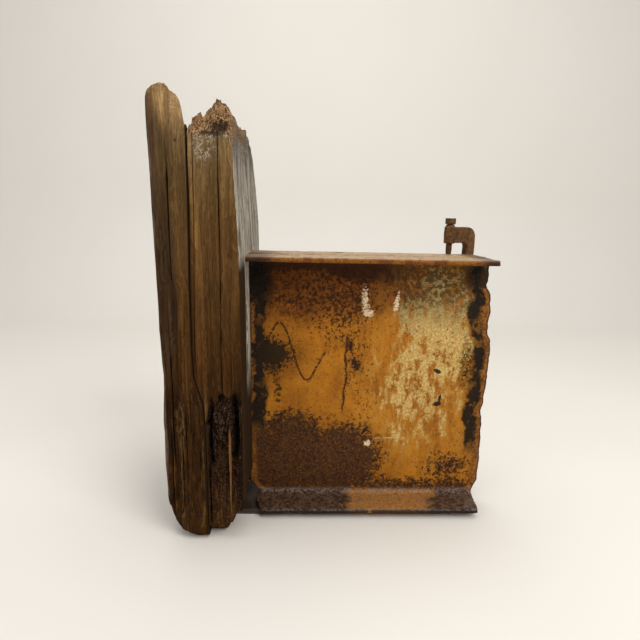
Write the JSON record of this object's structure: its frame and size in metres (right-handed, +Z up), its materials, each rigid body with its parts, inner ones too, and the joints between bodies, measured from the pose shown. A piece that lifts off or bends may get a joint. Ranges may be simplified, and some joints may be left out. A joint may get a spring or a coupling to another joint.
{
  "type": "found-object table sculpture",
  "caption": "Weathered split timber standing beside a torch-cut offcut of painted I-beam on a flat bar, with a small screw clamp on the beam's top flange.",
  "frame": {"origin": "on the table under the beam's web, at the middle of the sculpture's overall width", "axes": "+X from the timber to the beam's free end, +Y to the back, +Z up"},
  "size_m": [0.438, 0.252, 0.55],
  "materials": {
    "timber": "weathered, waxed on the front",
    "beam_paint": "worn ochre paint over rust",
    "painted_bar": "satin black",
    "pad_rubber": "matt",
    "clamp_iron": "rusted",
    "rusty_fasteners": "rusted",
    "zinc_fasteners": "zinc plated"
  },
  "bodies": {
    "sculpture": {"timber_plank": "timber", "timber_post": "timber", "timber_spikes": "rusty_fasteners", "base_bar": "painted_bar", "base_pad": "pad_rubber", "beam_offcut": "beam_paint", "beam_screws": "zinc_fasteners", "post_lag_screws": "zinc_fasteners"},
    "clamp": {"clamp_frame": "clamp_iron"},
    "bolt": {"clamp_bolt": "rusty_fasteners"}
  },
  "joints": [
    {"name": "clamp_slide", "type": "slide", "parent": "sculpture", "child": "clamp", "axis": [1, 0, 0], "range_m": [-0.25, 0.03]},
    {"name": "bolt_travel", "type": "slide", "parent": "clamp", "child": "bolt", "axis": [0, 0, 1], "range_m": [0, 0.015]}
  ]
}
